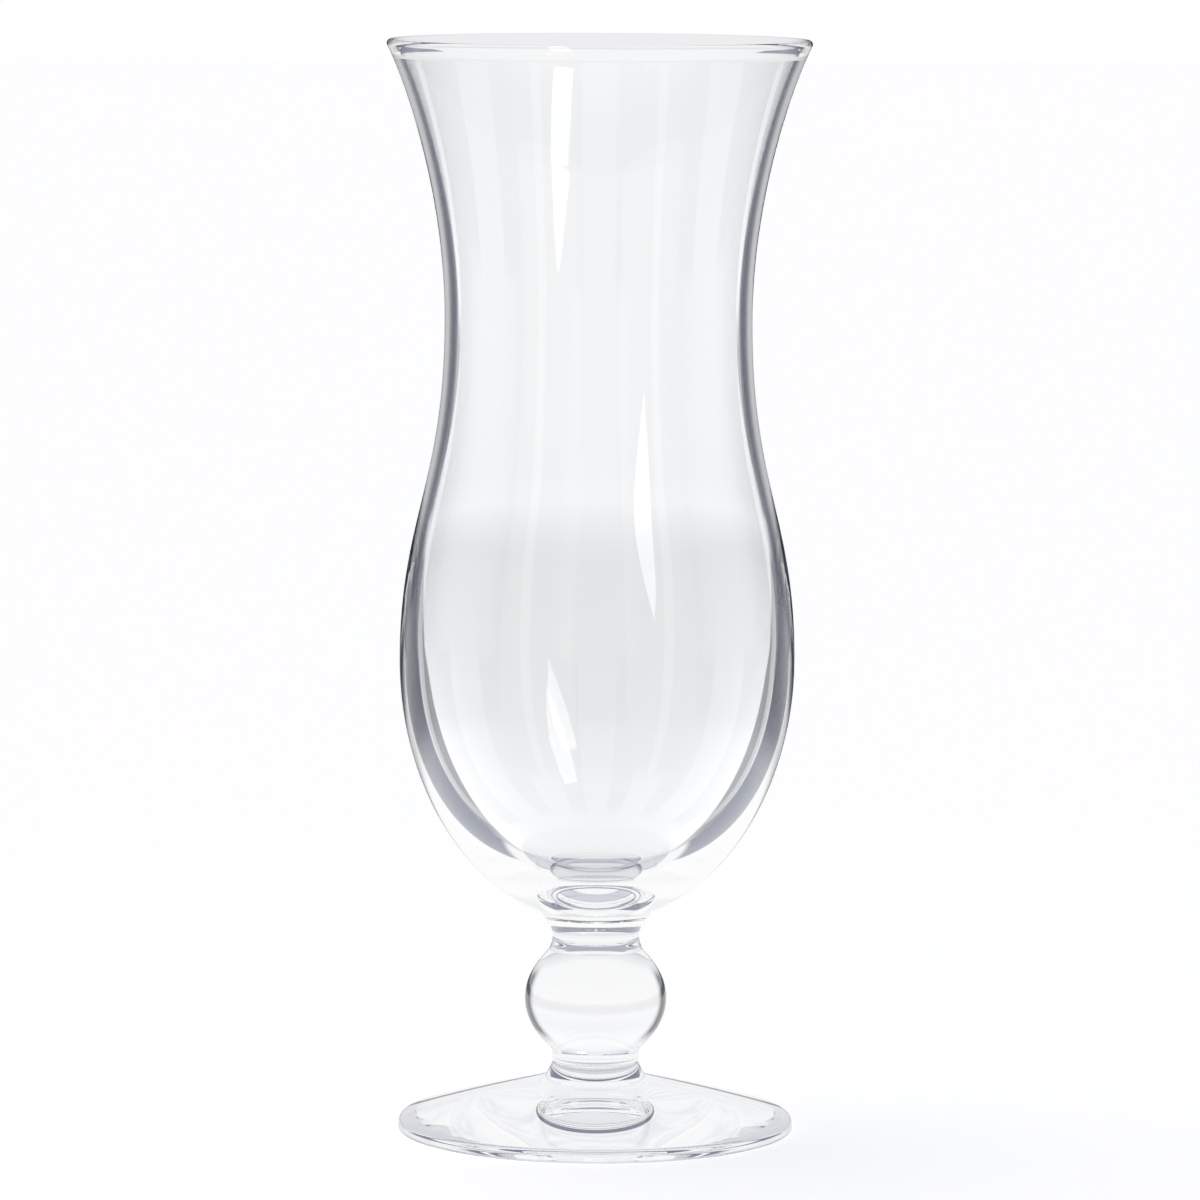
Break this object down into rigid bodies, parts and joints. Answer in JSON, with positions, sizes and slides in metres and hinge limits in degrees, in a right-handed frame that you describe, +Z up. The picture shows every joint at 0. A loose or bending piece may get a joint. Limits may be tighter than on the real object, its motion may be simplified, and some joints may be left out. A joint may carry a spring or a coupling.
{
  "type": "hurricane glass",
  "caption": "Tall clear hurricane glass with a flared rim, narrow waist and full belly, on a ball-knop stem with waisted collars and a wide sloping foot.",
  "frame": {"origin": "centre of the foot's resting ring, on the surface the glass stands on", "axes": "+Z up along the axis that the whole glass is turned about, from the foot to the rim; +X and +Y are level and alike"},
  "size_m": [0.0796, 0.0796, 0.206],
  "materials": {
    "glass": "clear, fire polished"
  },
  "bodies": {
    "root": {"bowl": "glass", "upper_collar": "glass", "ball_knop": "glass", "lower_collar": "glass", "foot": "glass"}
  },
  "joints": []
}
